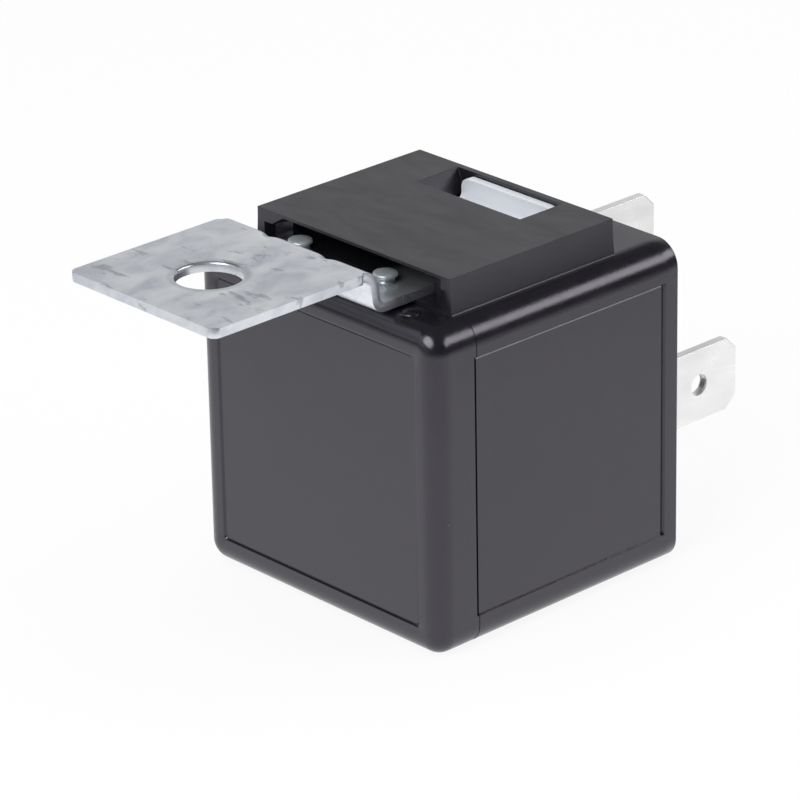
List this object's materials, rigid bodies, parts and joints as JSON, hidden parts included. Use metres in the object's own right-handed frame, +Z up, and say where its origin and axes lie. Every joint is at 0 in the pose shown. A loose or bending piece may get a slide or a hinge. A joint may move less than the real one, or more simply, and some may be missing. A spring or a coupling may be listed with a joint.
{
  "type": "automotive relay",
  "caption": "Plug-in cube relay for vehicles: black plastic cap, blade terminals, and a bent metal mounting tab held in a pocket on top.",
  "frame": {"origin": "centre of the long side that the relay lies on, opposite the mounting bracket", "axes": "+Z up from the resting side to the bracket, +Y from the closed front of the cap to the blade terminals, +X to the right when looking along +Y"},
  "size_m": [0.028, 0.0556, 0.0321],
  "materials": {
    "black_plastic": "fine-grained black moulding",
    "base_plastic": "black moulding",
    "plated_steel": "zinc-plated sheet",
    "rivet_steel": "plated",
    "tinned_brass": "matt tin plating",
    "bobbin_plastic": "natural nylon",
    "copper_wire": "enamelled copper",
    "tape": "clear amber film",
    "soft_iron": "plated soft iron",
    "spring_bronze": "bright strip",
    "small_rivets": "plated",
    "contact_silver": "silver alloy"
  },
  "bodies": {
    "housing": {"cap": "black_plastic", "mounting_bracket": "plated_steel", "bracket_rivets": "rivet_steel", "base": "base_plastic", "terminal_30": "tinned_brass", "terminal_87": "tinned_brass", "terminal_85": "tinned_brass", "terminal_86": "tinned_brass", "bobbin": "bobbin_plastic", "coil_winding": "copper_wire", "coil_tape": "tape", "core": "soft_iron", "yoke": "soft_iron", "yoke_rivets": "small_rivets", "fixed_contact": "contact_silver"},
    "moving_armature": {"armature": "soft_iron", "contact_spring": "spring_bronze", "armature_rivets": "small_rivets", "moving_contact": "contact_silver"}
  },
  "joints": [
    {"name": "armature_hinge", "type": "hinge", "parent": "housing", "child": "moving_armature", "pos_m": [0, -0.0072, 0.0246], "axis": [1, 0, 0], "range_deg": [0, 2.5], "stiffness_Nm_per_rad": 0.05, "springref_deg": -5.73, "deforming": ["contact_spring"]}
  ]
}
